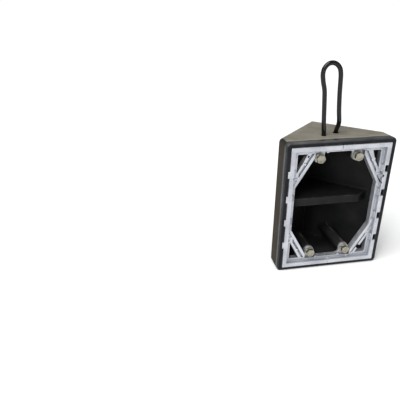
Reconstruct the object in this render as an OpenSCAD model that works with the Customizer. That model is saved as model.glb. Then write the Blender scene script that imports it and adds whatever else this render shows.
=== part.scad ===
// Hollow moulded wheel chock with a bolted metal grip frame and a wire handle.
// It stands on one end, with the grip frame towards -Y and the handle up.
// Depths named *_y are measured back from the rim plane, which is the plane of the body's front edge.

/* [Body] */
// Width across the two side walls
body_w = 203; // [180:1:230]
// Length from one end wall to the other
body_h = 254; // [230:1:280]
// Depth from the rim plane to the rounded ridge
body_d = 137; // [120:1:160]
// Depth of the straight side walls, up to the middle of the shoulder rounding
shoulder_y = 36; // [30:1:45]
// Wall thickness
wall_t = 7; // [5:0.5:9]
// Rounding of the rim edges
rim_r = 4; // [2:0.5:6]
// Rounding of the rim's four corners, seen from the front
corner_r = 8; // [6:0.5:9]
// Rounding of the shoulders and end edges
edge_r = 9.5; // [7:0.5:12]
// Rounding of the ridge
ridge_r = 5; // [3:0.5:8]

/* [Body inside] */
// Depth of the ledge that carries the grip frame
ledge_y = 16; // [12:1:20]
// Thickness of that ledge
ledge_t = 7; // [4:1:10]
// Thickness of the cross web at mid length
web_t = 16; // [8:1:20]
// Depth of the cross web's front edge
web_y = 31; // [26:1:45]
// Radius of the four screw bosses
boss_r = 10; // [9:0.5:12]
// Thickness of the gusset between a boss and the end wall
gusset_t = 5; // [3:0.5:8]

/* [Grip frame] */
// Width over the outer ribs
frame_w = 184; // [180:1:188]
// Length over the outer ribs
frame_h = 238; // [230:1:240]
// How far the ribs stand in front of the rim plane
frame_proud = 2; // [1:0.5:4]
// Width of the outer rib
rib_w = 8; // [6:0.5:10]
// Width of the whole bar, rib and flange
bar_w = 14.5; // [13:0.5:17]
// Width of the top and bottom bars between the lugs
bar_mid_w = 13; // [10:0.5:14]
// Half the length of that narrower middle stretch
bar_mid_x = 21; // [16:1:22]
// Depth of the flange's front face
flange_y = 5; // [4:0.5:8]
// Angle of the corner braces from the length of the frame
brace_angle = 30; // [26:1:34]
// Width of a corner brace across its own direction
brace_w = 13.5; // [10:0.5:15]
// Distance from the frame's middle to where a brace's outer edge meets the side bar
brace_reach = 70; // [66:1:74]
// Width of the two ribs on a brace
brace_rib_w = 5.5; // [3:0.1:6]
// Depth of the brace ribs' front faces
brace_rib_y = 4; // [3:0.5:6]
// Depth of the groove between the brace ribs
brace_web_y = 7.5; // [7:0.5:10]
// Length along the side of the plate that joins each brace to its side bar
plate_l = 17; // [12:1:22]
// Distance between the locating tabs along the side
tab_pitch = 47; // [44:0.5:50]
// Length of a locating tab
tab_h = 12.5; // [10:0.5:14]
// Depth of the front of the pad between rib and flange, behind each tab or notch
pad_y = 1.5; // [0:0.5:4]
// How far a tab stands out of the left rib
tab_out = 3; // [2:0.5:4]
// Depth of a notch in the right rib
notch_in = 5.5; // [4:0.5:6]
// Clearance between the two halves and round the frame
frame_gap = 0.3; // [0.1:0.1:0.5]

/* [Screws] */
// Distance of the screws from the middle, across
screw_x = 35.5; // [33:0.5:38]
// Distance of the screws from the middle, along the length
screw_dz = 95; // [92:0.5:97]
// Screw shank diameter
shank_d = 9.5; // [8:0.5:10]
// Screw length under the head
shank_l = 30; // [26:1:34]
// Hexagon width across flats
hex_af = 14.3; // [13:0.1:15]
// Head height
head_h = 6.2; // [5:0.1:7]
// Depth of the lugs' front faces, which the washers rest on
lug_y = 10.75; // [10:0.25:11.5]
// Radius of the lugs round the screws
lug_r = 9.5; // [9.5:0.5:12]
// Hole in a lug
lug_hole_r = 5.25; // [5:0.05:5.5]
// Flat washer outer diameter
washer_d = 18.4; // [18:0.1:21]
// Flat washer thickness
washer_t = 1.65; // [1:0.05:2]
// Lock washer outer diameter
lock_d = 17.3; // [16:0.1:18]
// Lock washer thickness
lock_t = 2.35; // [2:0.05:3]
// Threaded insert outer diameter
insert_d = 13; // [12:0.5:14]
// Threaded insert length
insert_l = 22; // [18:1:26]

/* [Handle] */
// Wire diameter
wire_d = 8; // [6:0.5:9]
// Clearance round the wire in the end wall
wire_gap = 0.3; // [0.2:0.05:0.5]
// Retaining clip outer diameter
clip_d = 18; // [16:1:20]
// Retaining clip thickness
clip_t = 1.6; // [1.2:0.1:2]

/* [Hidden] */
$fn = 64;
hull_fn = 32;
eps = 0.01;
rim_y = -(body_d - frame_proud) / 2;
mid_z = body_h / 2;
half_w = body_w / 2;
cavity_w = half_w - wall_t;
frame_x = frame_w / 2;
frame_z = frame_h / 2;
head_y = lug_y - washer_t - lock_t;
insert_bore_r = shank_d / 2 + 0.05;
insert_hole_r = insert_d / 2;
screw_hole_r = shank_d / 2 + 0.25;
screw_room = 8;
screw_hole_y = ledge_y + insert_l + screw_room;
ledge_w = 6;
// How far inner parts run into the wall they join, and how far a cut runs past the surface it opens
embed = 2;
past = 1;

// The sloping walls are tangent to the shoulder and ridge roundings.
slope_x = half_w - edge_r;
slope_y = body_d - ridge_r - shoulder_y;
slope_angle = atan2(slope_y, slope_x) - asin((edge_r - ridge_r) / norm([slope_x, slope_y]));
sharp_ridge_y = shoulder_y + edge_r / cos(slope_angle) + slope_x * tan(slope_angle);

// The cut front corners of the cross web
web_cut_x = 36;
web_cut_y = 26;
web_corner_x = half_w - web_cut_x;
web_corner_y = web_y + web_cut_y;

// Small sizes on the body and the grip frame
gusset_set = 1;
neck_l = 12;
washer_room = 0.6;
fillet_r = 6;
brace_end_z = 30;
brace_end_in = 2;
flange_in = 1;
plate_shift = 3;
outer_step = 1;

// Small sizes on the fasteners
point_l = 1.5;
head_chamfer = 0.3;
slot_w = 1.5;
slot_lean = 35;
slot_slant = 15;
clip_grip = 0.02;

tab_rows = [-1.5, -0.5, 0.5, 1.5];
left = -1;
right = 1;

// Where the wire passes the end wall: [across, depth].
// Then its centreline, from one inner end to the other: [across, depth, height].
foot_left = [-20, 36];
foot_right = [9.5, 50.5];
handle_route = [
    [-20, 36, 236], [-20, 36, 246], [-20.2, 36, 256], [-23, 36, 281], [-26, 36, 315],
    [-28, 36, 333], [-32, 36, 348], [-34, 36, 360], [-32.5, 36, 369], [-27, 36, 375.7],
    [-19.5, 36, 378], [-11.5, 36, 375.7], [-5, 36, 369], [-2, 36, 359], [-1, 36, 346],
    [0.5, 36, 323], [3, 36, 298], [5.8, 36.3, 280], [7.4, 40, 271], [9, 47.5, 261.5],
    [9.5, 50.3, 255], [9.5, 50.5, 249], [9.5, 50.5, 243], [9.5, 50.5, 236]
];
route_steps = 4;
wire_sides = 12;

corner_names = ["top_left", "top_right", "bottom_left", "bottom_right"];
corner_signs = [[left, 1], [right, 1], [left, -1], [right, -1]];

// ---- helpers ----

// Extrudes an outline drawn in X and Z from depth y0 to depth y1.
module slab(y0, y1) {
    translate([0, rim_y + y1, 0]) rotate([90, 0, 0]) linear_extrude(y1 - y0) children();
}

// A cylinder along the depth, from depth y0 to depth y1, at x and height z.
module rod(x, z, r, y0, y1) {
    translate([x, rim_y + y1, z]) rotate([90, 0, 0]) cylinder(r = r, h = y1 - y0);
}

// A cylinder along the depth at screw number i.
module screw_rod(i, r, y0, y1) {
    s = corner_signs[i];
    rod(s[0] * screw_x, mid_z + s[1] * screw_dz, r, y0, y1);
}

// Catmull-Rom curve through the points p, with n steps a span.
function spline_point(a, b, c, d, t) =
    let (second = 2 * a - 5 * b + 4 * c - d, third = 3 * b - a - 3 * c + d)
        0.5 * (2 * b + (c - a) * t + second * t * t + third * t * t * t);
function spline(p, n) = [
    for (i = [0:len(p) - 2]) for (k = [0:n - 1])
        spline_point(p[max(i - 1, 0)], p[i], p[i + 1], p[min(i + 2, len(p) - 1)], k / n),
    p[len(p) - 1]
];
function unit(v) = v / norm(v);

// A round tube along the curve c. The curve never runs along the depth, which fixes the tube's twist.
module tube(c, r, sides) {
    n = len(c);
    tangents = [for (i = [0:n - 1]) unit(c[min(i + 1, n - 1)] - c[max(i - 1, 0)])];
    points = [
        for (i = [0:n - 1])
            let (u = unit(cross([0, 1, 0], tangents[i])), v = cross(tangents[i], u))
                for (k = [0:sides - 1]) c[i] + r * (cos(360 * k / sides) * u + sin(360 * k / sides) * v)
    ];
    walls = [
        for (i = [0:n - 2]) for (k = [0:sides - 1])
            let (a = i * sides + k, b = i * sides + (k + 1) % sides)
                for (f = [[a, a + sides, b], [b, a + sides, b + sides]]) f
    ];
    start_cap = [for (k = [0:sides - 1]) k];
    end_cap = [for (k = [sides - 1:-1:0]) (n - 1) * sides + k];
    polyhedron(points, concat([start_cap], walls, [end_cap]));
}

// ---- body ----

// The outer outline across the length, with its roundings.
module body_outline() {
    hull() {
        for (s = [left, right]) {
            translate([s * (half_w - rim_r), rim_r]) circle(rim_r, $fn = hull_fn);
            translate([s * (half_w - edge_r), shoulder_y]) circle(edge_r, $fn = hull_fn);
        }
        translate([0, body_d - ridge_r]) circle(ridge_r, $fn = hull_fn);
    }
}

// The flat part of an end wall, between the centres of the roundings.
module end_outline() {
    polygon([
        [-half_w + corner_r, rim_r], [half_w - corner_r, rim_r], [half_w - edge_r, shoulder_y],
        [0, body_d - ridge_r], [-half_w + edge_r, shoulder_y]
    ]);
}

// A ring that gives one rim corner both of its roundings.
module rim_corner() {
    rotate([90, 0, 0])
        rotate_extrude($fn = hull_fn)
            translate([corner_r - rim_r, 0]) circle(rim_r, $fn = hull_fn);
}

// The outside of the body, without its hollow.

module body_outside() {
    hull() {
        linear_extrude(body_h) end_outline();
        translate([0, 0, edge_r]) linear_extrude(body_h - 2 * edge_r) body_outline();
        for (z = [-1, 1]) {
            for (s = [left, right]) {
                translate([s * (half_w - corner_r), rim_r, mid_z + z * (mid_z - corner_r)]) rim_corner();
                translate([s * (half_w - edge_r), shoulder_y, mid_z + z * (mid_z - edge_r)])
                    sphere(edge_r, $fn = hull_fn);
            }
            translate([0, body_d - ridge_r, mid_z + z * (mid_z - ridge_r)])
                sphere(ridge_r, $fn = hull_fn);
        }
    }
}

// The outline with sharp edges, moved in by inset, from depth y0 back to the ridge.
module prism_outline(inset, y0) {
    side_x = half_w - inset;
    back_y = sharp_ridge_y - inset / cos(slope_angle);
    side_y = back_y - side_x * tan(slope_angle);
    polygon([[-side_x, y0], [side_x, y0], [side_x, side_y], [0, back_y], [-side_x, side_y]]);
}

module cavity() {
    translate([0, 0, wall_t]) linear_extrude(body_h - 2 * wall_t) prism_outline(wall_t, ledge_y + ledge_t);
}

// The pocket for the grip frame, and the opening inside its ledge.
module frame_pocket() {
    pocket_x = frame_x + frame_gap;
    pocket_z = frame_z + frame_gap;
    inner_x = frame_x - ledge_w;
    inner_z = frame_z - ledge_w;
    translate([-pocket_x, -past, mid_z - pocket_z]) cube([2 * pocket_x, past + ledge_y, 2 * pocket_z]);
    translate([-inner_x, ledge_y - past, mid_z - inner_z])
        cube([2 * inner_x, ledge_t + 2 * past, 2 * inner_z]);
}

// The web that joins the walls at mid length, with its front corners cut back.
module cross_web() {
    side_x = half_w - embed;
    translate([0, 0, mid_z - web_t / 2])
        linear_extrude(web_t)
            intersection() {
                prism_outline(embed, 0);
                polygon([
                    [-web_corner_x, web_y], [web_corner_x, web_y], [side_x, web_corner_y],
                    [side_x, body_d], [-side_x, body_d], [-side_x, web_corner_y]
                ]);
            }
}

// Four columns from the ledge plane to the sloping walls, each tied to its end wall by a gusset.
module screw_bosses() {
    intersection() {
        linear_extrude(body_h) prism_outline(embed, 0);
        for (i = [0:3]) {
            s = corner_signs[i];
            boss_z = mid_z + s[1] * screw_dz;
            wall_z = mid_z + s[1] * (mid_z - wall_t + embed);
            translate([0, -rim_y, 0]) screw_rod(i, boss_r, ledge_y, body_d);
            translate([s[0] * screw_x - gusset_t / 2, ledge_y + gusset_set, min(boss_z, wall_z)])
                cube([gusset_t, body_d, abs(wall_z - boss_z)]);
        }
    }
}

// The hollow moulding, with its web, bosses and holes.
module body_shell() {
    color([0.2, 0.2, 0.19])
        difference() {
            translate([0, rim_y, 0])
                union() {
                    difference() {
                        body_outside();
                        cavity();
                        frame_pocket();
                    }
                    cross_web();
                    screw_bosses();
                }
            for (i = [0:3]) {
                screw_rod(i, insert_hole_r, ledge_y - past, ledge_y + insert_l);
                screw_rod(i, screw_hole_r, ledge_y, screw_hole_y);
            }
            for (f = [foot_left, foot_right])
                translate([f[0], rim_y + f[1], body_h - wall_t - past])
                    cylinder(r = wire_d / 2 + wire_gap, h = wall_t + 2 * past);
        }
}

// ---- grip frame ----

// A rectangle about the frame's middle, moved in from the frame's outline by dx and dz.
module inset_rect(dx, dz) {
    translate([0, mid_z]) square([2 * (frame_x - dx), 2 * (frame_z - dz)], center = true);
}

// Everything on one side of the seam between the two halves.
module half_plane(side) {
    translate([side * (frame_w + frame_gap / 4), mid_z]) square([2 * frame_w, 2 * frame_h], center = true);
}

// The part of an outline that belongs to one half of the frame.
module one_side(side) {
    intersection() {
        children();
        half_plane(side);
    }
}

// The rib that runs all round the frame.
module outer_rib() {
    difference() {
        inset_rect(0, 0);
        inset_rect(rib_w, rib_w);
    }
}

// The low flange inside that rib, narrower in the middle of the top and bottom bars.
module flange() {
    difference() {
        inset_rect(flange_in, flange_in);
        inset_rect(bar_w, bar_w);
        inset_rect(frame_x - bar_mid_x, bar_mid_w);
    }
}

// Straight bands along the corner braces of one side, between distances d0 and d1 in from their outer edges.
module braces(side, d0, d1) {
    intersection() {
        for (end = [-1, 1])
            translate([side * (frame_x - bar_w), mid_z + end * brace_reach])
                rotate(side * end * brace_angle)
                    translate([-side * (d0 + d1) / 2, 0]) square([d1 - d0, frame_w], center = true);
        difference() {
            inset_rect(brace_end_in, brace_end_in);
            inset_rect(0, frame_z - brace_end_z);
        }
    }
}

// Plates that fill the corner between each brace and its side bar.
module brace_plates(side) {
    for (end = [-1, 1])
        translate([side * (frame_x - bar_w), mid_z + end * (brace_reach + plate_shift - plate_l / 2)])
            square([2 * (bar_w - rib_w), plate_l], center = true);
}

// The lugs of one side, each with a neck that runs into its bar.
module lugs(side, grow) {
    for (end = [-1, 1])
        translate([side * screw_x, mid_z + end * screw_dz]) {
            circle(lug_r + grow);
            translate([0, end * neck_l / 2]) square([2 * (lug_r + grow), neck_l], center = true);
        }
}

// Concave roundings where a lug's neck meets its bar.
module lug_fillets(side) {
    for (end = [-1, 1])
        translate([side * (screw_x - lug_r), mid_z + end * (frame_z - bar_mid_w)])
            difference() {
                translate([-side * fillet_r / 2, -end * fillet_r / 2]) square(fillet_r, center = true);
                translate([-side * fillet_r, -end * fillet_r]) circle(fillet_r);
            }
}

// Blocks at the height of the four tabs or notches, centred at x.
module tab_blocks(x, w, h) {
    for (k = tab_rows) translate([x, mid_z + k * tab_pitch]) square([w, h], center = true);
}

// One of the frame's two castings.
module frame_half(side) {
    back_y = ledge_y;
    pad_x = frame_x - (bar_w + rib_w) / 2;
    difference() {
        union() {
            slab(-frame_proud, back_y) one_side(side) outer_rib();
            slab(flange_y, back_y) one_side(side) flange();
            slab(pad_y, back_y) tab_blocks(side * pad_x, bar_w - rib_w, tab_h);
            slab(brace_web_y, back_y) braces(side, 0, brace_w);
            slab(brace_rib_y, back_y) braces(side, brace_w - brace_rib_w, brace_w);
            slab(brace_rib_y + outer_step, back_y) braces(side, 0, brace_rib_w);
            slab(brace_rib_y + outer_step, back_y) brace_plates(side);
            slab(lug_y, back_y) lugs(side, 0);
            slab(lug_y, back_y) lug_fillets(side);
            if (side < 0) slab(-frame_proud, 0) tab_blocks(-frame_x, 2 * tab_out, tab_h);
        }
        // room over the lugs for the washers and a socket
        slab(-frame_proud - past, lug_y) lugs(side, washer_room);
        if (side > 0) slab(-frame_proud - past, back_y + past) tab_blocks(frame_x, 2 * notch_in, tab_h);
        for (i = [0:3]) screw_rod(i, lug_hole_r, lug_y - past, back_y + past);
    }
}

module grip_frame_left() { color([0.78, 0.8, 0.82]) frame_half(left); }
module grip_frame_right() { color([0.78, 0.8, 0.82]) frame_half(right); }

// ---- screws, washers and inserts ----

// A sleeve pressed into a boss, with the screw's bore through it.
module threaded_insert(i) {
    color([0.72, 0.6, 0.35])
        difference() {
            screw_rod(i, insert_d / 2, ledge_y, ledge_y + insert_l);
            screw_rod(i, insert_bore_r, ledge_y - past, ledge_y + insert_l + past);
        }
}

module flat_washer(i) {
    color([0.85, 0.86, 0.87])
        difference() {
            screw_rod(i, washer_d / 2, lug_y - washer_t, lug_y);
            screw_rod(i, lug_hole_r, lug_y - washer_t - past, lug_y + past);
        }
}

// A split ring: the slot leans a little, as the wire's cut ends do.
module lock_washer(i) {
    s = corner_signs[i];
    color([0.8, 0.81, 0.82])
        difference() {
            screw_rod(i, lock_d / 2, head_y, head_y + lock_t);
            screw_rod(i, screw_hole_r, head_y - past, head_y + lock_t + past);
            translate([s[0] * screw_x, rim_y + head_y + lock_t / 2, mid_z + s[1] * screw_dz])
                rotate([0, slot_lean, 0])
                    rotate([0, 0, slot_slant])
                        translate([-slot_w / 2, -lock_t * 2, 0]) cube([slot_w, lock_t * 4, lock_d]);
        }
}

// A hexagon screw with a chamfered head and a pointed-off end.
module frame_screw(i) {
    s = corner_signs[i];
    tip_y = head_y + shank_l;
    top_r = hex_af / 2 - head_chamfer;
    color([0.72, 0.7, 0.6])
        translate([s[0] * screw_x, rim_y, mid_z + s[1] * screw_dz])
            rotate([-90, 0, 0]) {
                translate([0, 0, head_y - head_h])
                    intersection() {
                        rotate(30) cylinder(d = hex_af / cos(30), h = head_h, $fn = 6);
                        cylinder(r1 = top_r, r2 = top_r + head_h * 2, h = head_h);
                    }
                translate([0, 0, head_y - eps]) cylinder(d = shank_d, h = shank_l - point_l + eps);
                translate([0, 0, tip_y - point_l])
                    cylinder(r1 = shank_d / 2, r2 = shank_d / 2 - point_l, h = point_l);
            }
}

// ---- handle ----

module wire_handle() {
    color([0.05, 0.05, 0.05])
        translate([0, rim_y, 0]) tube(spline(handle_route, route_steps), wire_d / 2, wire_sides);
}

// A push-on clip under the end wall, which keeps one end of the wire from pulling out.
module handle_clip(foot) {
    color([0.6, 0.6, 0.62])
        translate([foot[0], rim_y + foot[1], body_h - wall_t - clip_t])
            difference() {
                cylinder(d = clip_d, h = clip_t);
                translate([0, 0, -past]) cylinder(r = wire_d / 2 + clip_grip, h = clip_t + 2 * past);
            }
}

body_shell();
grip_frame_left();
grip_frame_right();
wire_handle();
handle_clip(foot_left);  // handle_clip_left
handle_clip(foot_right);  // handle_clip_right
for (i = [0:3]) threaded_insert(i);
for (i = [0:3]) flat_washer(i);
for (i = [0:3]) lock_washer(i);
for (i = [0:3]) frame_screw(i);
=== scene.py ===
import math

import bmesh
import bpy
import numpy as np
from mathutils import Matrix, Vector


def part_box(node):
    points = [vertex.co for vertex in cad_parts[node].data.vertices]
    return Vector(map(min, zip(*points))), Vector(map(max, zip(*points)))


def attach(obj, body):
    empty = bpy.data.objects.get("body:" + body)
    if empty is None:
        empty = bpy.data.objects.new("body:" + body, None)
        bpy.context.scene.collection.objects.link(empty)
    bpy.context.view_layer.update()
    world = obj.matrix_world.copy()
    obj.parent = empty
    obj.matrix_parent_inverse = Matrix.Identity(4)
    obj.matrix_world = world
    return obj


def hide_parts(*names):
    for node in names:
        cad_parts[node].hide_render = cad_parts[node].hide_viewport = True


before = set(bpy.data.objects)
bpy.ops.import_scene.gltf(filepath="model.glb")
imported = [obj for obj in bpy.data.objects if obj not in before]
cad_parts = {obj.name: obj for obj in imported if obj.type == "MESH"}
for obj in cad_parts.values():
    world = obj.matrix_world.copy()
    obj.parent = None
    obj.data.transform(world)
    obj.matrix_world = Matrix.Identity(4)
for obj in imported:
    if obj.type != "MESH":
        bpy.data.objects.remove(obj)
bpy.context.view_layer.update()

# A hollow moulded wheel chock, standing on one end with its grip frame towards -Y.
# Shapes are worked out in millimetres as [x, depth behind the body's front plane, height],
# and made in metres.
MM = 0.001
BODY_LOW, BODY_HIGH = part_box("body_shell")
FRAME_LOW, FRAME_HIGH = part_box("grip_frame_left")
RIM_Y = BODY_LOW[1]
HALF_W = BODY_HIGH[0] / MM
BODY_H = BODY_HIGH[2] / MM
BODY_D = (BODY_HIGH[1] - BODY_LOW[1]) / MM
MID_Z = BODY_H / 2

# Body
WALL = 7.0
SHOULDER_Y = 36.0
RIM_R = 4.0
CORNER_R = 8.0
EDGE_R = 9.5
RIDGE_R = 5.0
LEDGE_Y = (FRAME_HIGH[1] - RIM_Y) / MM
LEDGE_T = 7.0
LEDGE_W = 6.0
WEB_T = 16.0
WEB_Y = 31.0
WEB_CORNER_X = HALF_W - 36.0
WEB_CORNER_Y = WEB_Y + 26.0
BOSS_R = 10.0
GUSSET_T = 5.0
LINING_DEPTH = 1.5
FIN_T = 1.6
FIN_H = 1.4
POCKET_ROOM = 0.35

# Grip frame
PROUD = (RIM_Y - FRAME_LOW[1]) / MM
FRAME_X = 92.0
FRAME_Z = (FRAME_HIGH[2] - FRAME_LOW[2]) / MM / 2
RIB_W = 8.0
BAR_W = 14.5
BAR_MID_W = 13.0
BAR_MID_X = 21.0
FLANGE_Y = 5.0
BRACE_ANGLE = math.radians(30)
BRACE_W = 13.5
BRACE_REACH = 70.0
BRACE_RIB_W = 5.5
BRACE_RIB_Y = 4.0
BRACE_WEB_Y = 7.5
PLATE_L = 17.0
PLATE_LOW = 56.0
PAD_Y = 0.6
PAD_FLAT = 1.6
PAD_SLOPE = {-1: 1.1, 1: 2.3}
TAB_PITCH = 47.0
TAB_H = 12.5
TAB_OUT = 3.0
NOTCH_IN = 5.5
SEAM = 0.22
SEAM_BOTTOM = 0.07

# Small hollows in the casting: distance from the middle, height from mid-height, radius and
# squash along the height
DIMPLES = {(-1, 1): (83.6, 62.0, 1.3, 0.75), (1, 1): (85.6, 56.5, 1.3, 0.5)}
GROOVE_CORNER = (1, 1)
GROOVE_W = 1.5
HOLLOW_Y = 8.5

# How each brace's outer band changes towards its bar: how much wider it is there, or how much is cut from it
BAND_FLARE = {(1, 1): 3.8, (-1, 1): 2.0, (1, -1): 0.0, (-1, -1): 0.8}
BAND_CUT = {(1, 1): 0.0, (-1, 1): 0.0, (1, -1): 4.6, (-1, -1): 0.0}
BAND_CUT_SPAN = (23.0, 30.5)
FLARE_START = 19.0
FLARE_LENGTH = 19.0
EJECTOR_SPOTS = (7.0, 23.0)
EJECTOR_R = 1.2

# Screws
SCREW_X = 35.5
SCREW_DZ = 95.0
LUG_Y = 10.75
LUG_R = 9.5
LUG_FILLET = 6.0
WASHER_ROOM = 0.6
LUG_HOLE_R = 5.25
HEX_AF = 14.3
HEAD_H = 6.2
SHANK_R = 4.75
THREAD_PITCH = 25.4 / 16
INSERT_BORE_R = 6.5
INSERT_BORE_L = 22.0
SCREW_BORE_R = 5.0
SCREW_BORE_L = 30.0

# Handle
WIRE_R = 4.0

# Grid steps of the two kinds of field piece, and the share of their faces that is kept
BODY_STEP = 1.3
FRAME_STEP = 0.8
KEPT_SHARE = 0.3

CORNERS = {"top_left": (-1, 1), "top_right": (1, 1), "bottom_left": (-1, -1), "bottom_right": (1, -1)}


def place(points):
    """Millimetres as [x, depth, height] to metres in the shared frame."""
    return np.asarray(points, float) * MM + np.array([0.0, RIM_Y, 0.0])


# ---- distance fields: negative inside, in millimetres ----

def both(a, b, r=0.0):
    """Where a and b overlap, with the outside edge rounded to r."""
    if np.isscalar(r) and r == 0:
        return np.maximum(a, b)
    u, v = np.maximum(r + a, 0), np.maximum(r + b, 0)
    return np.minimum(-r, np.maximum(a, b)) + np.hypot(u, v)


def either(a, b, r=0.0):
    """a and b joined, with the inside corner filled to r."""
    return -both(-a, -b, r)


def without(a, b, r=0.0):
    """a with b cut away, with the new edge rounded to r."""
    return both(a, -b, r)


def rect(x, z, half_x, half_z, r=0.0):
    """A rectangle about the origin with its corners rounded to r."""
    return both(np.abs(x) - half_x, np.abs(z) - half_z, r)


def band(value, low, high):
    """Where value lies between low and high."""
    return np.abs(value - (low + high) / 2) - (high - low) / 2


def plate(outline, depth, front, back, r, draft=0.0):
    """An outline from one depth to another, its front edge rounded to r, wider by draft per mm of depth."""
    walls = outline - draft * (depth - front)
    return both(both(walls, front - depth, r), depth - back, 0.4)


# ---- mesh from a distance field ----

EDGES = [(a, b) for a in range(8) for b in range(8) if a < b and bin(a ^ b).count("1") == 1]


def corner_offset(c):
    """The grid offset of corner c of a cell, counted in binary along the three axes."""
    return np.array([c & 1, c >> 1 & 1, c >> 2 & 1])


def gradient(field, p):
    """The field's slope at the points p."""
    h = 0.04
    steps = np.eye(3) * h
    return np.stack([(field(*(p + s).T) - field(*(p - s).T)) / (2 * h) for s in steps], axis=1)


def onto_surface(field, p, reach):
    """Moves the points p onto the field's zero level."""
    for _ in range(4):
        g = gradient(field, p)
        move = -field(*p.T)[:, None] * g / np.maximum((g * g).sum(1), 0.3)[:, None]
        length = np.linalg.norm(move, axis=1, keepdims=True)
        p = p + move * np.minimum(1, reach / np.maximum(length, 1e-9))
    return p


def surface_net(field, low, high, step):
    """Points and quads round the zero level of the field, on a grid of that step."""
    axes = [np.arange(a - 2 * step, b + 2.5 * step, step) for a, b in zip(low, high)]
    value = field(*np.meshgrid(*axes, indexing="ij", sparse=False)).astype(np.float32)
    inside = value < 0
    cells = np.array(value.shape) - 1

    def corner(grid, c):
        i, j, k = corner_offset(c)
        return grid[i:i + cells[0], j:j + cells[1], k:k + cells[2]]

    count = sum(corner(inside, c).astype(np.int8) for c in range(8))
    active = (count > 0) & (count < 8)
    number = np.full(cells, -1)
    number[active] = np.arange(active.sum())
    total = np.zeros((active.sum(), 3))
    hits = np.zeros(active.sum())
    for a, b in EDGES:
        va, vb = corner(value, a)[active], corner(value, b)[active]
        cut = (va < 0) != (vb < 0)
        t = np.where(cut, va / np.where(cut, va - vb, 1), 0)
        at = corner_offset(a) + t[:, None] * (corner_offset(b) - corner_offset(a))
        total[cut] += at[cut]
        hits[cut] += 1
    start = np.array([axis[0] for axis in axes])
    points = (np.argwhere(active) + total / hits[:, None]) * step + start

    quads = []
    for axis in range(3):
        u, v = [d for d in range(3) if d != axis]
        ends = [slice(None)] * 3
        ends[axis] = slice(1, None)
        starts = [slice(None)] * 3
        starts[axis] = slice(None, -1)
        first, second = inside[tuple(starts)], inside[tuple(ends)]
        at = np.argwhere(first != second)
        outward = first[tuple(at.T)]
        ring = []
        for du, dv in ((0, 0), (-1, 0), (-1, -1), (0, -1)):
            cell = at.copy()
            cell[:, u] += du
            cell[:, v] += dv
            ring.append(number[tuple(cell.T)])
        ring = np.stack(ring, axis=1)
        flip = outward if axis == 1 else ~outward
        ring[flip] = ring[flip][:, ::-1]
        quads.append(ring)
    return points, np.concatenate(quads)


def new_object(name, mesh):
    """An object with that mesh, in the scene."""
    ob = bpy.data.objects.new(name, mesh)
    bpy.context.scene.collection.objects.link(ob)
    return ob


def skin_piece(name, points, faces, sharp):
    """A smooth piece with those points and faces, sharp where faces meet at more than that many degrees."""
    mesh = bpy.data.meshes.new(name)
    mesh.from_pydata(place(points).tolist(), [], faces)
    mesh.shade_smooth()
    mesh.set_sharp_from_angle(angle=math.radians(sharp))
    return new_object(name, mesh)


def thinned(ob, ratio):
    """ob's mesh with only that share of its faces, joined where they are flattest."""
    thin = ob.modifiers.new("thin", "DECIMATE")
    thin.ratio = ratio
    bpy.context.view_layer.update()
    mesh = bpy.data.meshes.new_from_object(ob.evaluated_get(bpy.context.evaluated_depsgraph_get()))
    ob.modifiers.clear()
    ob.data = mesh
    return ob


def unpinched(mesh):
    """Closes up each edge with more than two faces, where thinning lets two sheets touch."""
    net = bmesh.new()
    net.from_mesh(mesh)
    pinches = [edge for edge in net.edges if len(edge.link_faces) > 2]
    if pinches:
        bmesh.ops.collapse(net, edges=pinches)
        net.to_mesh(mesh)
    net.free()
    return mesh


def field_piece(name, field, low, high, step, keep):
    """A piece whose surface is the zero level of field(x, depth, height)."""
    points, quads = surface_net(field, low, high, step)
    points = onto_surface(field, points, step * 0.6)
    mesh = bpy.data.meshes.new(name)
    mesh.from_pydata(place(points).tolist(), [], quads.tolist())
    ob = thinned(new_object(name, mesh), keep)
    mesh = unpinched(ob.data)
    count = len(mesh.vertices)
    flat = np.empty(count * 3)
    mesh.vertices.foreach_get("co", flat)
    points = (flat.reshape(-1, 3) - [0, RIM_Y, 0]) / MM
    points = onto_surface(field, points, step * 0.3)
    mesh.vertices.foreach_set("co", place(points).ravel())
    slope = gradient(field, points)
    slope /= np.maximum(np.linalg.norm(slope, axis=1, keepdims=True), 1e-9)
    mesh.shade_smooth()
    mesh.normals_split_custom_set_from_vertices(slope.tolist())
    mesh.update()
    return ob


# ---- body ----

SLOPE_X = HALF_W - EDGE_R
SLOPE_Y = BODY_D - RIDGE_R - SHOULDER_Y
SLOPE = math.atan2(SLOPE_Y, SLOPE_X) - math.asin((EDGE_R - RIDGE_R) / math.hypot(SLOPE_X, SLOPE_Y))
SHARP_RIDGE_Y = SHOULDER_Y + EDGE_R / math.cos(SLOPE) + SLOPE_X * math.tan(SLOPE)
SHOULDER_BLEND = 2.7


def prism(x, y, inset, ridge_r, shoulder_r):
    """The outline across the length, without its front, moved in by inset."""
    sides = np.abs(x) - (HALF_W - inset)
    slopes = [s * x * math.sin(SLOPE) + (y - SHARP_RIDGE_Y) * math.cos(SLOPE) + inset for s in (-1, 1)]
    return both(sides, both(slopes[0], slopes[1], ridge_r), shoulder_r)


def screw_axes(x, z):
    """Distances from the four screws' axes."""
    return [np.hypot(x - s * SCREW_X, z - MID_Z - e * SCREW_DZ) for s, e in CORNERS.values()]


HANDLE_FEET = ((-20.0, 36.0), (9.5, 50.5))
WIRE_HOLES = ((-20.0, 36.0, 4.35, 0.5), (9.0, 49.6, 5.4, 0.9))


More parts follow.
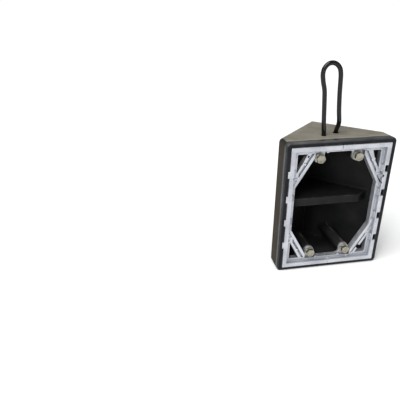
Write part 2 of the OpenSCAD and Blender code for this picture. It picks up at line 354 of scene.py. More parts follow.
def body_block(x, y, z):
    """The body's outside, as if it were solid."""
    end_r = np.interp(y, [RIM_R, SHOULDER_Y, BODY_D - RIDGE_R], [CORNER_R, EDGE_R, RIDGE_R])
    block = both(prism(x, y, 0, RIDGE_R, SHOULDER_BLEND), np.abs(z - MID_Z) - MID_Z, end_r)
    return both(block, -y, RIM_R)


def body_field(x, y, z):
    ends = np.abs(z - MID_Z) - MID_Z
    block = body_block(x, y, z)

    hollow = both(prism(x, y, WALL, 4.0, 2.0), ends + WALL, 4.0)
    hollow = both(hollow, LEDGE_Y + LEDGE_T - y, 1.0)
    web = both(np.abs(z - MID_Z) - WEB_T / 2 - 0.012 * (y - WEB_Y), WEB_Y - y, 2.0)
    cut = (np.abs(x) - WEB_CORNER_X) * (WEB_CORNER_Y - WEB_Y) - (y - WEB_Y) * (HALF_W - WEB_CORNER_X - 2)
    web = both(web, cut / math.hypot(WEB_CORNER_Y - WEB_Y, HALF_W - WEB_CORNER_X - 2), 2.0)
    hollow = without(hollow, web, 4.0)
    axes = screw_axes(x, z)
    boss = np.minimum.reduce(axes) - BOSS_R - 0.012 * (y - LEDGE_Y)
    gusset = np.abs(np.abs(x) - SCREW_X) - GUSSET_T / 2 - 0.01 * (y - LEDGE_Y)
    gusset = both(gusset, SCREW_DZ - np.abs(z - MID_Z), 0)
    posts = either(boss, gusset, 3.0)
    fin = both(np.abs(np.abs(x) - SCREW_X) - FIN_T / 2, boss - FIN_H, 0.3)
    posts = either(posts, both(fin, band(z, MID_Z - SCREW_DZ, MID_Z), 0), 0.6)
    posts = both(posts, LEDGE_Y - y, 0.8)
    hollow = without(hollow, posts, 3.0)
    solid = without(block, hollow, 0.6)

    window = rect(x, z - MID_Z, FRAME_X - LEDGE_W, FRAME_Z - LEDGE_W, 5.0)
    window = both(window, np.abs(y - LEDGE_Y - LEDGE_T / 2) - LEDGE_T / 2 - 1, 0)
    window = without(window, posts, 0.8)
    solid = without(solid, window, 1.2)
    pocket = both(rect(x, z - MID_Z, FRAME_X + POCKET_ROOM, FRAME_Z + POCKET_ROOM, 1.0), y - LEDGE_Y, 0.6)
    solid = without(solid, pocket, 0.9)

    screw = np.minimum.reduce(axes)
    bore = both(screw - INSERT_BORE_R, y - LEDGE_Y - INSERT_BORE_L, 0)
    bore = either(bore, both(screw - SCREW_BORE_R, y - LEDGE_Y - SCREW_BORE_L, 0.5), 0)
    solid = without(solid, bore, 0.4)
    for hole_x, hole_y, hole_r, mouth_r in WIRE_HOLES:
        hole = both(np.hypot(x - hole_x, y - hole_y) - hole_r, BODY_H - WALL - 2 - z, 0)
        solid = without(solid, hole, mouth_r)
    return solid


def make_body():
    """The moulding, with all its hollows and holes."""
    low, high = (-HALF_W, 0, 0), (HALF_W, BODY_D, BODY_H)
    return field_piece("moulded_body", body_field, low, high, BODY_STEP, KEPT_SHARE)


def line_inside(ob, mat):
    """Gives mat to the faces of the body's hollow: those well within its outside."""
    mesh = ob.data
    centre = np.empty(len(mesh.polygons) * 3)
    mesh.polygons.foreach_get("center", centre)
    points = (centre.reshape(-1, 3) - [0, RIM_Y, 0]) / MM
    mesh.materials.append(mat)
    mesh.polygons.foreach_set("material_index", (body_block(*points.T) < -LINING_DEPTH).astype(np.int32))


# ---- grip frame ----

def brace_axes(x, z, side, end):
    """Distance in from a corner brace's outer edge, and distance along it from its side bar."""
    dx = side * x - (FRAME_X - BAR_W)
    dz = end * (z - MID_Z) - BRACE_REACH
    inward = -dx * math.cos(BRACE_ANGLE) - dz * math.sin(BRACE_ANGLE)
    along = -dx * math.sin(BRACE_ANGLE) + dz * math.cos(BRACE_ANGLE)
    return inward, along


def frame_field(side):
    """The field of the left (-1) or right (1) half of the grip frame."""

    def field(x, y, z):
        dz = z - MID_Z
        outside = rect(x, dz, FRAME_X, FRAME_Z, 1.2)
        bar_hole = rect(x, dz, FRAME_X - BAR_W, FRAME_Z - BAR_W, 2.0)
        middle_hole = rect(x, dz, BAR_MID_X, FRAME_Z - BAR_MID_W, 2.0)
        rib_hole = rect(x, dz, FRAME_X - RIB_W, FRAME_Z - RIB_W, 1.5)
        flange = without(outside, either(bar_hole, middle_hole, 2.0), 0)
        rib = without(outside, rib_hole, 0)
        solid = plate(flange, y, FLANGE_Y, LEDGE_Y, 0.7, 0.03)
        solid = either(solid, plate(rib, y, -PROUD, LEDGE_Y, 0.7, 0.045), 1.2)

        keep_in = rect(x, dz, FRAME_X - 3, FRAME_Z - 3, 0)
        for end in (-1, 1):
            inward, along = brace_axes(x, z, side, end)
            span = both(keep_in, 30 - end * dz, 0)
            web = both(band(inward, 0.0, BRACE_W), span, 0)
            solid = either(solid, plate(web, y, BRACE_WEB_Y, LEDGE_Y, 0.7, 0.03), 1.0)
            rib_in = both(band(inward, BRACE_W - BRACE_RIB_W, BRACE_W), span, 0)
            solid = either(solid, plate(rib_in, y, BRACE_RIB_Y, LEDGE_Y, 0.7, 0.04), 0.8)
            rib_out = both(band(inward, 0.0, BRACE_RIB_W - 0.8), span, 0)
            solid = either(solid, plate(rib_out, y, BRACE_RIB_Y + 1, LEDGE_Y, 0.7, 0.04), 0.8)
            corner = both(band(end * dz, PLATE_LOW, PLATE_LOW + PLATE_L), band(side * x, 73.0, 86.0), 0)
            corner = both(both(corner, keep_in, 0), 1.0 - inward, 0)
            solid = either(solid, plate(corner, y, BRACE_RIB_Y + 0.8, LEDGE_Y, 0.6, 0.04), 0.6)
            sill = both(band(end * dz, PLATE_LOW + 1.5, PLATE_LOW + 5.0), band(inward, 1.0, BRACE_W - 2), 0)
            solid = either(solid, plate(sill, y, BRACE_RIB_Y - 0.4, LEDGE_Y, 0.6, 0.05), 0.5)
            if (side, end) == GROOVE_CORNER:
                rib_side = BRACE_W - BRACE_RIB_W
                groove = band(inward, rib_side - GROOVE_W, rib_side)
                groove = both(groove, side * x - FRAME_X + RIB_W - 1, 0.4)
                groove = both(groove, end * dz - PLATE_LOW + 0.6, 0.4)
                solid = without(solid, both(groove, y - HOLLOW_Y, 0.5), 0.4)
            if (side, end) in DIMPLES:
                dimple_x, dimple_dz, dimple_r, squash = DIMPLES[side, end]
                pit = np.hypot(side * x - dimple_x, (end * dz - dimple_dz) * squash) - dimple_r
                solid = without(solid, both(pit, y - HOLLOW_Y, 0.5), 0.4)
            solid = brace_details(solid, y, side, end, inward, along, span)

            lug_x, lug_z = x - side * SCREW_X, end * dz - SCREW_DZ
            neck = both(np.abs(lug_x) - LUG_R, np.abs(lug_z - 8) - 8, 0)
            lug = either(np.hypot(lug_x, lug_z) - LUG_R, neck, 0)
            lug = either(lug, both(outside, FRAME_Z - BAR_MID_W - end * dz, 0), LUG_FILLET)
            lug = both(lug, outside, 0)
            lug = both(lug, np.abs(lug_x) - 22, 0)
            solid = either(solid, plate(lug, y, LUG_Y, LEDGE_Y, 0.6, 0.03), 0.8)
            room_r = LUG_R + WASHER_ROOM
            room = both(np.abs(lug_x) - room_r, np.abs(lug_z - 6) - 6, 0)
            room = either(np.hypot(lug_x, lug_z) - room_r, room, 0)
            solid = without(solid, both(room, y - LUG_Y, 0.8), 0.8)
            solid = without(solid, np.hypot(lug_x, lug_z) - LUG_HOLE_R, 0.3)

        solid = both(solid, outside)
        for k in (-1.5, -0.5, 0.5, 1.5):
            tab_z = np.abs(dz - k * TAB_PITCH) - TAB_H / 2
            ramp_y = PAD_Y + np.maximum(FRAME_X - RIB_W - PAD_FLAT - side * x, 0) * PAD_SLOPE[side]
            pad = both(both(tab_z, band(side * x, FRAME_X - BAR_W + 0.8, FRAME_X - 2), 0), ramp_y - y, 0.6)
            solid = either(solid, both(pad, y - LEDGE_Y, 0), 0.8)
            if side < 0:
                tab = both(tab_z, band(x, -FRAME_X - TAB_OUT, -FRAME_X + 3), 0.6)
                solid = either(solid, both(plate(tab, y, 0.2 - PROUD, -0.1, 0.7), tab, 0), 0.4)
            else:
                notch = both(tab_z, FRAME_X - NOTCH_IN - x, 0.8)
                solid = without(solid, notch, 0.6)
        solid = both(solid, band(y, -PROUD, LEDGE_Y))
        gap = np.where(dz > 0, SEAM, SEAM_BOTTOM)
        return both(solid, gap - side * x, np.where(dz > 0, 0.25, 0.12))

    return field


def brace_details(solid, y, side, end, inward, along, span):
    """The brace's flare or cut near its bar, its stop block, and its ejector marks."""
    flare = BAND_FLARE[side, end]
    if flare:
        grown = -np.clip((along - FLARE_START) / FLARE_LENGTH, 0, 1) * flare
        wing = both(both(band(along, FLARE_START + 2, 45), grown - inward, 0.5), inward - 3, 0)
        wing = both(wing, span, 0)
        solid = either(solid, plate(wing, y, BRACE_RIB_Y + 1, LEDGE_Y, 0.6, 0.03), 0.4)
    cut = BAND_CUT[side, end]
    if cut:
        hole = both(band(along, *BAND_CUT_SPAN), band(inward, -3.0, cut), 1.2)
        solid = without(solid, both(hole, -y - 1, 0), 0.6)
    else:
        block = both(band(along, FLARE_START + 0.5, FLARE_START + 4), band(inward, -flare * 0.3, 6.2), 0.4)
        solid = either(solid, plate(block, y, BRACE_RIB_Y - 0.2, LEDGE_Y, 0.6, 0.04), 0.4)
    if (side, end) == (-1, 1):
        recess = both(band(along, 34.0, 37.5), band(inward, 0.4, 3.6), 0.8)
        solid = without(solid, both(recess, y - 11, 0.5), 0.4)
    if (side, end) == (-1, -1):
        for at in EJECTOR_SPOTS:
            spot = np.hypot(along - at, inward - BRACE_W / 2) - EJECTOR_R
            solid = without(solid, both(spot, y - BRACE_WEB_Y - 0.5, 0.2), 0.2)
    return solid


def make_frame_half(side):
    """The left (-1) or right (1) casting of the grip frame."""
    name = "left" if side < 0 else "right"
    low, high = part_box("grip_frame_" + name)
    low = [low[0] / MM, -PROUD, low[2] / MM]
    high = [high[0] / MM, LEDGE_Y, high[2] / MM]
    return field_piece("cast_frame_" + name, frame_field(side), low, high, FRAME_STEP, KEPT_SHARE)


# ---- screws, washers, inserts and clips, made as rings of points about an axis ----

class Rings:
    """Rings of points about the depth axis through (x, z), joined into one closed skin."""

    def __init__(self, sides):
        self.angle = np.arange(sides) * 2 * math.pi / sides
        self.rows = []

    def add(self, r, depth):
        self.rows.append((np.broadcast_to(r, self.angle.shape), np.broadcast_to(depth, self.angle.shape)))

    def piece(self, name, x, z, closed=False, turn=0.0):
        """closed joins the last ring to the first, as in a washer; otherwise both ends run to a point."""
        n = len(self.angle)
        points = []
        for r, depth in self.rows:
            a = self.angle + turn
            points.append(np.stack([x + r * np.cos(a), depth, z + r * np.sin(a)], axis=1))
        faces = []
        rows = len(self.rows)
        k = np.arange(n)
        for row in range(rows if closed else rows - 1):
            near, far = row * n, (row + 1) % rows * n
            faces += np.stack([near + k, far + k, far + (k + 1) % n, near + (k + 1) % n], axis=1).tolist()
        points = np.concatenate(points)
        if not closed:
            for row, order in ((0, 1), (rows - 1, -1)):
                r, depth = self.rows[row]
                points = np.vstack([points, [x, depth.mean(), z]])
                tip = len(points) - 1
                for i in range(n):
                    pair = [row * n + i, row * n + (i + 1) % n][::order]
                    faces.append([*pair, tip])
        return skin_piece(name, points, faces, 38)


def softened_hexagon(angle, flats):
    """The radius of a hexagon with slightly rounded corners."""
    pull = sum(np.maximum(np.cos(angle - k * math.pi / 3), 0) ** 70 for k in range(6))
    return flats / 2 / pull ** (1 / 70)


def at_screw(node, corner):
    """A screw's axis in x and height, and the front, back and radius of that node's solid there."""
    side, end = CORNERS[corner]
    low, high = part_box(node + corner)
    front, back = (low[1] - RIM_Y) / MM, (high[1] - RIM_Y) / MM
    return side * SCREW_X, MID_Z + end * SCREW_DZ, front, back, (high[0] - low[0]) / MM / 2


def make_screw(corner, turn):
    """A hexagon screw with a washer face under its head and a rolled thread."""
    x, z, top, tip, _ = at_screw("frame_screw_", corner)
    under = top + HEAD_H
    rings = Rings(96)
    hexagon = softened_hexagon(rings.angle, HEX_AF)
    flat_r = HEX_AF / 2 * 0.955
    slope = math.tan(math.radians(30))
    rings.add(1.2, top + 0.5)
    rings.add(4.6, top + 0.42)
    rings.add(5.0, top + 0.15)
    rings.add(5.3, top)
    rings.add(flat_r - 0.25, top)
    rings.add(flat_r, top + 0.06)
    for share in (0.5, 1.0):
        r = flat_r + (hexagon - flat_r) * share
        rings.add(r, top + 0.1 + np.maximum(r - flat_r, 0) * slope)
    rings.add(hexagon, top + HEAD_H * 0.5)
    rings.add(hexagon, under - 0.45)
    rings.add(hexagon - 0.15, under - 0.3)
    rings.add(HEX_AF / 2 * 0.93, under - 0.3)
    rings.add(HEX_AF / 2 * 0.92, under)
    rings.add(SHANK_R + 0.25, under)
    rings.add(SHANK_R, under + 0.3)
    start, stop = under + 0.8, tip - 1.4
    steps = int((stop - start) / THREAD_PITCH * 8)
    for i in range(steps + 1):
        depth = start + (stop - start) * i / steps
        phase = np.mod(depth / THREAD_PITCH - rings.angle / (2 * math.pi), 1.0)
        crest = np.clip(np.abs(phase - 0.5) * 2.6 - 0.15, 0, 1)
        fade = min((depth - start) / 1.5, (stop - depth) / 1.5, 1.0)
        rings.add(SHANK_R - 0.85 * crest * max(fade, 0.0), depth)
    rings.add(SHANK_R - 0.1, tip - 1.2)
    rings.add(SHANK_R - 1.2, tip - 0.1)
    rings.add(SHANK_R - 1.5, tip)
    return rings.piece("hex_screw_" + corner, x, z, turn=turn)


def make_flat_washer(corner):
    """A stamped washer: rounded on its front edge, sharper behind."""
    x, z, front, back, outer = at_screw("flat_washer_", corner)
    rings = Rings(72)
    profile = (
        (LUG_HOLE_R + 0.5, front), (outer - 0.55, front), (outer - 0.16, front + 0.15), (outer, front + 0.5),
        (outer, back - 0.15), (outer - 0.15, back), (LUG_HOLE_R + 0.15, back), (LUG_HOLE_R, back - 0.2),
        (LUG_HOLE_R, front + 0.45), (LUG_HOLE_R + 0.15, front + 0.12),
    )
    for r, depth in profile:
        rings.add(r, depth)
    return rings.piece("plain_washer_" + corner, x, z, closed=True)


def make_lock_washer(corner, gap_angle):
    """A split spring washer: a square wire bent into a ring, with slanting cut ends slightly out of line."""
    x0, z0, front, back, outer = at_screw("lock_washer_", corner)
    inner = SHANK_R + 0.3
    soft = 0.28
    thick = back - front - 0.16
    section = []
    for r, d, cr, cd in ((inner, 0, 1, 1), (outer, 0, -1, 1), (outer, thick, -1, -1), (inner, thick, 1, -1)):
        pair = [(r, d + cd * soft), (r + cr * soft, d)]
        section += pair if cr * cd > 0 else pair[::-1]
    count = 64
    points, faces = [], []
    for i in range(count + 1):
        share = i / count
        for r, d in section:
            slant = (d / thick - 0.5) * 0.22
            a = gap_angle + math.radians(7) + share * math.radians(346) + slant
            points.append([x0 + r * math.cos(a), front + d + 0.16 * share, z0 + r * math.sin(a)])
    n = len(section)
    for i in range(count):
        for k in range(n):
            faces.append([i * n + k, i * n + (k + 1) % n, (i + 1) * n + (k + 1) % n, (i + 1) * n + k])
    faces.append(list(range(n))[::-1])
    faces.append([count * n + k for k in range(n)])
    return skin_piece("spring_washer_" + corner, points, faces, 50)


def make_insert(corner):
    """A brass insert: two knurled bands either side of a plain groove."""
    x, z, front, back, outer = at_screw("threaded_insert_", corner)
    bore = SHANK_R + 0.05
    rings = Rings(96)
    rings.add(bore, back - 0.5)
    rings.add(bore, front + 0.5)
    rings.add(bore + 0.4, front)
    rings.add(outer - 0.5, front)
    count = 44
    for i in range(count + 1):
        depth = front + 0.4 + (back - front - 0.8) * i / count
        share = i / count
        groove = 0.44 < share < 0.56 or share < 0.05 or share > 0.95
        lean = 24 * rings.angle
        knurl = 0.5 + 0.25 * (np.cos(lean + depth * 2.1) + np.cos(lean - depth * 2.1))
        rings.add(outer - (0.7 if groove else 0.05) - (0 if groove else 0.4) * (1 - knurl), depth)
    rings.add(outer - 0.5, back)
    rings.add(bore + 0.4, back)
    return rings.piece("knurled_insert_" + corner, x, z, closed=True)


def make_clip(name, foot):
    """A push-on ring: a dished washer whose six inner teeth grip the wire."""
    low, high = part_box("handle_clip_" + name)
    bottom, top = low[2] / MM, high[2] / MM
    outer = (high[0] - low[0]) / MM / 2
    sheet = 0.75
    count = 120
    angle = np.arange(count) * 2 * math.pi / count
    tooth = np.clip(1.9 * np.cos(6 * angle) + 0.6, 0, 1)
    root_r = 6.3
    inner = root_r - (root_r - WIRE_R - 0.06) * tooth
    shares = (0.0, 0.12, 0.5, 0.8, 1.0)
    points, faces = [], []
    for layer in (0, 1):
        order = shares if layer == 0 else shares[::-1]
        for share in order:
            r = outer - 0.1 - (outer - 0.1 - inner) * share
            dish = (top - bottom - sheet) * np.clip((7.2 - r) / 3.0, 0, 1)
            level = top - sheet * layer - dish
            across, deep = foot[0] + r * np.cos(angle), foot[1] + r * np.sin(angle)
            points.append(np.stack([across, deep, level], axis=1))
    rows = len(points)
    k = np.arange(count)
    for row in range(rows):
        near, far = row * count, (row + 1) % rows * count
        after = (k + 1) % count
        faces += np.stack([near + k, near + after, far + after, far + k], axis=1).tolist()
    return skin_piece("push_on_clip_" + name, np.concatenate(points), faces, 40)


# ---- handle ----

# The wire's centreline, listed from one inner end to the other
HANDLE_ROUTE = (
    (-20, 36, 236), (-20, 36, 246), (-20.2, 36, 256), (-23, 36, 281), (-26, 36, 315),
    (-28, 36, 333), (-32, 36, 348), (-34, 36, 360), (-32.5, 36, 369), (-27, 36, 375.7),
    (-19.5, 36, 378), (-11.5, 36, 375.7), (-5, 36, 369), (-2, 36, 359), (-1, 36, 346),
    (0.5, 36, 323), (3, 36, 298), (5.8, 36.3, 280), (7.4, 40, 271), (9, 47.5, 261.5),
    (9.5, 50.3, 255), (9.5, 50.5, 249), (9.5, 50.5, 243), (9.5, 50.5, 236),
)


def spline(route, steps):
    """A smooth curve through every point of the route."""
    p = np.array([route[0], *route, route[-1]], float)
    out = []
    for i in range(1, len(p) - 2):
        for t in np.arange(steps) / steps:
            a, b, c, d = p[i - 1:i + 3]
            bend = (2 * a - 5 * b + 4 * c - d) * t * t + (3 * b - a - 3 * c + d) * t ** 3
            out.append(0.5 * (2 * b + (c - a) * t + bend))
    return np.array([*out, p[-2]])


def make_handle():
    """The bent wire, with cut ends that are slightly chamfered."""
    line = spline(HANDLE_ROUTE, 8)
    along = np.gradient(line, axis=0)
    along /= np.linalg.norm(along, axis=1, keepdims=True)
    sides = 28
    angle = np.arange(sides) * 2 * math.pi / sides
    across = np.cross([0.0, 1.0, 0.0], along)
    across /= np.linalg.norm(across, axis=1, keepdims=True)
    third = np.cross(along, across)
    radius = np.full(len(line), WIRE_R)
    radius[[0, -1]] = WIRE_R - 0.6
    ring = np.cos(angle)[None, :, None] * across[:, None] + np.sin(angle)[None, :, None] * third[:, None]
    points = (line[:, None] + radius[:, None, None] * ring).reshape(-1, 3)
    k = np.arange(sides)
    faces = []
    for row in range(len(line) - 1):
        near, far = row * sides, (row + 1) * sides
        after = (k + 1) % sides
        faces += np.stack([near + k, near + after, far + after, far + k], axis=1).tolist()
    faces.append(list(range(sides))[::-1])
    faces.append([(len(line) - 1) * sides + i for i in range(sides)])
    return skin_piece("wire_loop", points, faces, 50)


# ---- materials ----

class Paint:
    """A material in the making: a few short calls that add and join shader nodes."""

    def __init__(self, name, metallic, **fixed):
        self.mat = bpy.data.materials.new(name)
        self.mat.use_nodes = True
        self.tree = self.mat.node_tree
        self.shader = self.tree.nodes["Principled BSDF"]
        self.shader.inputs["Metallic"].default_value = metallic
        for key, value in fixed.items():
            self.shader.inputs[key.replace("_", " ").title().replace("Ior", "IOR")].default_value = value
        self.at = self.tree.nodes.new("ShaderNodeTexCoord").outputs["Object"]

    def join(self, value, socket):
        if isinstance(value, bpy.types.NodeSocket):
            self.tree.links.new(value, socket)
        elif isinstance(value, tuple) and len(value) == 3 and len(socket.default_value) == 4:
            socket.default_value = (*value, 1)
        else:
            socket.default_value = value

    def noise(self, scale, detail=4.0, stretch=None, rough=0.55):
        node = self.tree.nodes.new("ShaderNodeTexNoise")
        node.inputs["Scale"].default_value = scale
        node.inputs["Detail"].default_value = detail
        node.inputs["Roughness"].default_value = rough
        at = self.at
        if stretch:
            move = self.tree.nodes.new("ShaderNodeMapping")
            move.inputs["Scale"].default_value = stretch
            self.join(at, move.inputs["Vector"])
            at = move.outputs["Vector"]
        self.join(at, node.inputs["Vector"])
        return node.outputs["Fac"]

    def cells(self, scale):
        node = self.tree.nodes.new("ShaderNodeTexVoronoi")
        node.inputs["Scale"].default_value = scale
        self.join(self.at, node.inputs["Vector"])
        return node.outputs["Distance"]

    def math(self, kind, a, b=0.0, clamp=False):
        node = self.tree.nodes.new("ShaderNodeMath")
        node.operation = kind
        node.use_clamp = clamp
        self.join(a, node.inputs[0])
        self.join(b, node.inputs[1])
        return node.outputs[0]

    def span(self, value, low, high, to_low=0.0, to_high=1.0):
        """value from low to high, smoothly, as to_low to to_high."""
        node = self.tree.nodes.new("ShaderNodeMapRange")
        node.interpolation_type = "SMOOTHSTEP"
        for socket, v in zip(node.inputs, (value, low, high, to_low, to_high)):
            self.join(v, socket)
        return node.outputs["Result"]

    def mix(self, share, a, b):
        node = self.tree.nodes.new("ShaderNodeMix")
        node.data_type = "RGBA"
        self.join(share, node.inputs["Factor"])
        self.join(a, node.inputs[6])
        self.join(b, node.inputs[7])
        return node.outputs[2]

    def open_to(self, reach, inside=False):
        """How open the surface is within reach: low in corners, or with inside, low on outside edges."""
        node = self.tree.nodes.new("ShaderNodeAmbientOcclusion")
        node.samples = 8
        node.inside = inside
        node.only_local = True
        node.inputs["Distance"].default_value = reach
        return node.outputs["AO"]

    def off_middle(self, name, middle):
        """Distance from a middle plane."""
        return self.math("ABSOLUTE", self.math("SUBTRACT", self.axis(name), middle))

    def axis(self, name):
        node = self.tree.nodes.new("ShaderNodeSeparateXYZ")
        self.join(self.at, node.inputs[0])
        return node.outputs[name]

    def facing(self, name):
        node = self.tree.nodes.new("ShaderNodeSeparateXYZ")
        self.join(self.tree.nodes.new("ShaderNodeNewGeometry").outputs["Normal"], node.inputs[0])
        return node.outputs[name]

    def bump(self, height, distance, after=None):
        node = self.tree.nodes.new("ShaderNodeBump")
        node.inputs["Distance"].default_value = distance
        self.join(height, node.inputs["Height"])
        if after is not None:
            self.join(after, node.inputs["Normal"])
        return node.outputs["Normal"]

    def done(self, color, rough, normal):
        self.join(color, self.shader.inputs["Base Color"])
        self.join(rough, self.shader.inputs["Roughness"])
        self.join(normal, self.shader.inputs["Normal"])
        return self.mat


def plastic_material():
    """Black moulding: glossy slopes, matt tan end walls with a painted highlight line, brown side walls, and
    a dark rim band with painted light on its top and left side.
    """
    p = Paint("moulded_plastic", 0.0, specular_ior_level=0.2)
    depth = p.math("SUBTRACT", p.axis("Y"), RIM_Y)
    cloud = p.noise(9, 5)
    streak = p.noise(30, 6, stretch=(1, 1, 0.08))
    color = p.mix(p.span(cloud, 0.35, 0.7), (0.005, 0.0055, 0.007), (0.011, 0.0115, 0.013))
    color = p.mix(p.span(streak, 0.56, 0.76, 0.0, 0.35), color, (0.026, 0.025, 0.024))

    # Painted light on the rim: lighter on its top and left side, and black in front, below and on the right
    # side
    turned = p.math("SUBTRACT", p.facing("Z"), p.facing("X"))
    lit_rim = p.math("MULTIPLY", p.span(turned, 0.1, 0.7), p.span(depth, 0.013, 0.003))
    lit_rim = p.math("MULTIPLY", lit_rim, p.span(p.noise(24, 5), 0.3, 0.7, 0.4, 1.0))
    # Painted light: the rim is lighter still towards the left and where it faces up
    top_left_light = p.span(p.axis("X"), HALF_W * MM, -HALF_W * MM)
    top_left_light = p.math("MULTIPLY", top_left_light, p.span(p.facing("Z"), 0.2, 0.9))
    color = p.mix(lit_rim, color, p.mix(top_left_light, (0.042, 0.044, 0.048), (0.1, 0.1, 0.096)))

    side_wall = p.span(p.off_middle("X", 0.0), (HALF_W - 2.2) * MM, (HALF_W - 0.3) * MM)
    brown = p.math("MULTIPLY", side_wall, p.span(depth, 0.005, 0.013))
    patch = p.span(streak, 0.3, 0.7, 0.5, 1.0)
    color = p.mix(p.math("MULTIPLY", brown, patch), color, (0.04, 0.029, 0.014))

    end_wall = p.span(p.off_middle("Z", MID_Z * MM), (MID_Z - 1.2) * MM, (MID_Z - 0.1) * MM)
    wander = p.math("ADD", depth, p.span(p.noise(22, 5), 0.3, 0.7, -0.002, 0.002))
    tan = p.math("MULTIPLY", end_wall, p.span(wander, 0.0115, 0.017))
    blotch = p.span(p.noise(38, 6), 0.3, 0.66, 0.76, 1.0)
    color = p.mix(p.math("MULTIPLY", tan, blotch), color, (0.205, 0.187, 0.15))
    # Painted highlight: a lighter line just behind the front rounding of each end wall
    highlight_line = p.math("MULTIPLY", tan, p.span(wander, 0.023, 0.017, 0.0, 0.4))
    color = p.mix(highlight_line, color, (0.31, 0.3, 0.25))

    # Lighter edges: partly wear, partly a painted highlight, strongest near the top
    edge = p.span(p.open_to(0.0025, inside=True), 0.93, 0.72)
    high_up = p.span(p.axis("Z"), 0.225, 0.25, 0.3, 1.0)
    wear_and_highlight = p.math("MULTIPLY", edge, p.span(p.noise(75, 6), 0.5, 0.62, 0.0, 0.6))
    color = p.mix(p.math("MULTIPLY", wear_and_highlight, high_up), color, (0.17, 0.15, 0.12))

    rough = p.span(p.noise(22, 5), 0.3, 0.7, 0.22, 0.36)
    rough = p.math("ADD", rough, p.math("MULTIPLY", tan, 0.3))
    rough = p.math("ADD", rough, p.math("MULTIPLY", brown, 0.48))
    front = p.span(p.facing("Y"), -0.7, -0.95)
    rough = p.math("ADD", rough, p.math("MULTIPLY", front, 0.3))
    normal = p.bump(p.noise(420, 3), 0.00012)
    normal = p.bump(p.noise(16, 3), 0.0012, normal)
    return p.done(color, rough, normal)


def inner_plastic_material():
    """The moulding inside: matt black, with brown dust and a painted highlight along its edges."""
    p = Paint("moulded_plastic_inside", 0.0, specular_ior_level=0.12)
    color = p.mix(p.span(p.noise(14, 5), 0.35, 0.7), (0.008, 0.0085, 0.009), (0.02, 0.02, 0.02))
    # Lighter brown along the edges: partly dust, partly a painted highlight
    edge = p.span(p.open_to(0.003, inside=True), 0.93, 0.7)
    dust_and_highlight = p.math("MULTIPLY", edge, p.span(p.noise(60, 6), 0.42, 0.62, 0.1, 0.8))
    color = p.mix(dust_and_highlight, color, (0.1, 0.08, 0.06))
    rough = p.span(p.noise(22, 5), 0.3, 0.7, 0.5, 0.72)
    normal = p.bump(p.noise(420, 3), 0.00012)
    normal = p.bump(p.noise(30, 4), 0.0008, normal)
    return p.done(color, rough, normal)


def aluminium_material():
    """Cast metal: fine grain and pits, painted shade in its recesses, grime and painted shade in the
    corners, and edges rubbed bright with a painted highlight.
    """
    p = Paint("cast_metal", 0.86)
    color = p.mix(p.span(p.noise(26, 5), 0.3, 0.7), (0.47, 0.485, 0.52), (0.65, 0.665, 0.7))
    # Painted shade: darker where the surface is hemmed in within 12 mm
    recess_shade = p.span(p.open_to(0.012), 0.97, 0.55, 0.0, 0.6)
    color = p.mix(recess_shade, color, (0.3, 0.315, 0.355))
    # Lighter edges: partly rubbed bright, partly a painted highlight
    edge = p.span(p.open_to(0.0012, inside=True), 0.9, 0.6)
    color = p.mix(p.math("MULTIPLY", edge, 0.75), color, (0.84, 0.85, 0.86))
    # Darker in the corners, in patches: grime and painted shade
    grime_and_shade = p.span(p.open_to(0.003), 0.88, 0.45)
    patchy = p.span(p.noise(70, 4), 0.25, 0.6, 0.5, 0.95)
    color = p.mix(p.math("MULTIPLY", grime_and_shade, patchy), color, (0.12, 0.13, 0.16))
    rough = p.span(p.noise(140, 5), 0.3, 0.7, 0.42, 0.6)
    rough = p.math("SUBTRACT", rough, p.math("MULTIPLY", edge, 0.1))
    normal = p.bump(p.span(p.cells(520), 0.05, 0.35), 0.00008)
    normal = p.bump(p.noise(300, 5), 0.00018, normal)
    normal = p.bump(p.noise(45, 3), 0.0005, normal)
    return p.done(color, rough, normal)


def plated_material(name, dark, light, rough_low, rough_high):
    """Plated or turned metal with faint stains, and grime and painted shade in its corners."""
    p = Paint(name, 0.95)
    color = p.mix(p.span(p.noise(160, 5), 0.3, 0.7), dark, light)
    # Darker in the corners: grime and painted shade
    grime_and_shade = p.span(p.open_to(0.0025), 0.8, 0.3, 0.0, 0.8)
    color = p.mix(grime_and_shade, color, tuple(0.2 * v for v in dark))
    rough = p.span(p.noise(380, 4), 0.3, 0.7, rough_low, rough_high)
    return p.done(color, rough, p.bump(p.noise(900, 3), 0.00004))


def wire_material():
    """Gloss black coating with slight orange peel, rubbed thin in places."""
    p = Paint("black_coating", 0.0, specular_ior_level=0.36)
    rub = p.span(p.noise(90, 6), 0.62, 0.8)
    color = p.mix(rub, (0.0015, 0.0015, 0.002), (0.01, 0.01, 0.012))
    rough = p.span(p.noise(120, 4), 0.3, 0.7, 0.08, 0.16)
    return p.done(color, rough, p.bump(p.noise(260, 3), 0.00006))


def floor_material():
    """A plain, nearly white floor without gloss."""
    p = Paint("pale_floor", 0.0, specular_ior_level=0.0)
    color = p.mix(p.noise(3, 2), (0.93, 0.93, 0.93), (0.95, 0.95, 0.95))
    return p.done(color, 0.7, p.bump(p.noise(200, 2), 0.0001))


def paint(ob, mat):
    """Gives ob that material and no other."""
    ob.data.materials.clear()
    ob.data.materials.append(mat)


def finish_piece(ob, mat, node=None):
    """Paints a piece, fixes it to the object and lets it stand for its CAD node."""
    paint(ob, mat)
    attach(ob, "root")
    if node:
        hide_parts(node)


# ---- camera, light and floor ----

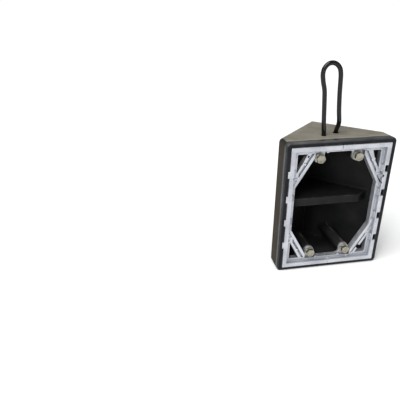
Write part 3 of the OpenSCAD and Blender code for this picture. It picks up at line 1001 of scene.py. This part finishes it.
def make_camera():
    """The camera, placed and turned to fit the seen edges of the body and the frame."""
    data = bpy.data.cameras.new("camera")
    data.sensor_width = 36.0
    data.lens = 38.6
    data.clip_end = 100
    cam = bpy.data.objects.new("camera", data)
    bpy.context.scene.collection.objects.link(cam)
    yaw, pitch, roll = math.radians(9.268), math.radians(24.919), math.radians(-0.555)
    forward = Vector((math.sin(yaw) * math.cos(pitch), math.cos(yaw) * math.cos(pitch), -math.sin(pitch)))
    across = Vector((math.cos(yaw), -math.sin(yaw), 0))
    up = across.cross(forward)
    right = across * math.cos(roll) + up * math.sin(roll)
    top = up * math.cos(roll) - across * math.sin(roll)
    spot = Vector((-0.35707, RIM_Y - 0.65745, 0.47298))
    turn = Matrix((right, top, -forward)).transposed().to_4x4()
    cam.matrix_world = Matrix.Translation(spot) @ turn
    bpy.context.scene.camera = cam


def make_stage():
    """The floor that the object stands on."""
    bpy.ops.mesh.primitive_plane_add(size=60, location=(0, 0, 0))
    floor = bpy.context.object
    floor.name = "floor"
    paint(floor, floor_material())


def area_light(name, spot, aim, size, power, color=(1, 1, 1)):
    """A rectangular lamp at spot, turned towards aim."""
    data = bpy.data.lights.new(name, "AREA")
    data.shape = "RECTANGLE"
    data.size, data.size_y = size
    data.energy = power
    data.color = color
    ob = bpy.data.objects.new(name, data)
    bpy.context.scene.collection.objects.link(ob)
    ob.location = spot
    ob.rotation_euler = (Vector(aim) - Vector(spot)).to_track_quat("-Z", "Y").to_euler()


def make_world():
    """A dim sky that lights the object, behind a plain white background."""
    world = bpy.data.worlds.new("world")
    world.use_nodes = True
    tree = world.node_tree
    dim = tree.nodes["Background"]
    dim.inputs["Color"].default_value = (0.97, 0.985, 1.0, 1)
    dim.inputs["Strength"].default_value = 0.4
    white = tree.nodes.new("ShaderNodeBackground")
    white.inputs["Color"].default_value = (1, 1, 1, 1)
    white.inputs["Strength"].default_value = 1.05
    seen = tree.nodes.new("ShaderNodeLightPath")
    mix = tree.nodes.new("ShaderNodeMixShader")
    tree.links.new(seen.outputs["Is Camera Ray"], mix.inputs[0])
    tree.links.new(dim.outputs[0], mix.inputs[1])
    tree.links.new(white.outputs[0], mix.inputs[2])
    tree.links.new(mix.outputs[0], tree.nodes["World Output"].inputs["Surface"])
    bpy.context.scene.world = world


def make_light():
    """Soft light from above on the camera's side, and one tall lamp further left."""
    make_world()
    sun = bpy.data.lights.new("sky", "SUN")
    sun.energy = 3.0
    sun.angle = math.radians(50)
    ob = bpy.data.objects.new("sky", sun)
    bpy.context.scene.collection.objects.link(ob)
    ob.rotation_euler = Vector((0.42, 0.34, -0.84)).to_track_quat("-Z", "Y").to_euler()
    area_light("key", (-1.1, -1.3, 0.9), (0, 0, 0.13), (0.22, 1.1), 5)
    bpy.context.scene.view_settings.view_transform = "Standard"


make_camera()
body = make_body()
finish_piece(body, plastic_material(), "body_shell")
line_inside(body, inner_plastic_material())
aluminium = aluminium_material()
for side, name in ((-1, "left"), (1, "right")):
    finish_piece(make_frame_half(side), aluminium, "grip_frame_" + name)

zinc_screw = plated_material("yellow_zinc", (0.27, 0.255, 0.2), (0.42, 0.4, 0.335), 0.3, 0.45)
zinc_washer = plated_material("pale_zinc", (0.4, 0.39, 0.34), (0.56, 0.55, 0.48), 0.28, 0.42)
brass = plated_material("turned_brass", (0.55, 0.4, 0.16), (0.72, 0.56, 0.26), 0.25, 0.4)
spring_steel = plated_material("spring_steel", (0.22, 0.22, 0.24), (0.38, 0.38, 0.4), 0.3, 0.5)
for k, corner in enumerate(CORNERS):
    finish_piece(make_screw(corner, 0.35 + 0.55 * k), zinc_screw, "frame_screw_" + corner)
    spring = make_lock_washer(corner, 1.1 + 0.5 * k)
    finish_piece(spring, zinc_washer, "lock_washer_" + corner)
    finish_piece(make_flat_washer(corner), zinc_washer, "flat_washer_" + corner)
    finish_piece(make_insert(corner), brass, "threaded_insert_" + corner)
finish_piece(make_handle(), wire_material(), "wire_handle")
for name, foot in zip(("left", "right"), HANDLE_FEET):
    finish_piece(make_clip(name, foot), spring_steel, "handle_clip_" + name)
make_stage()
make_light()
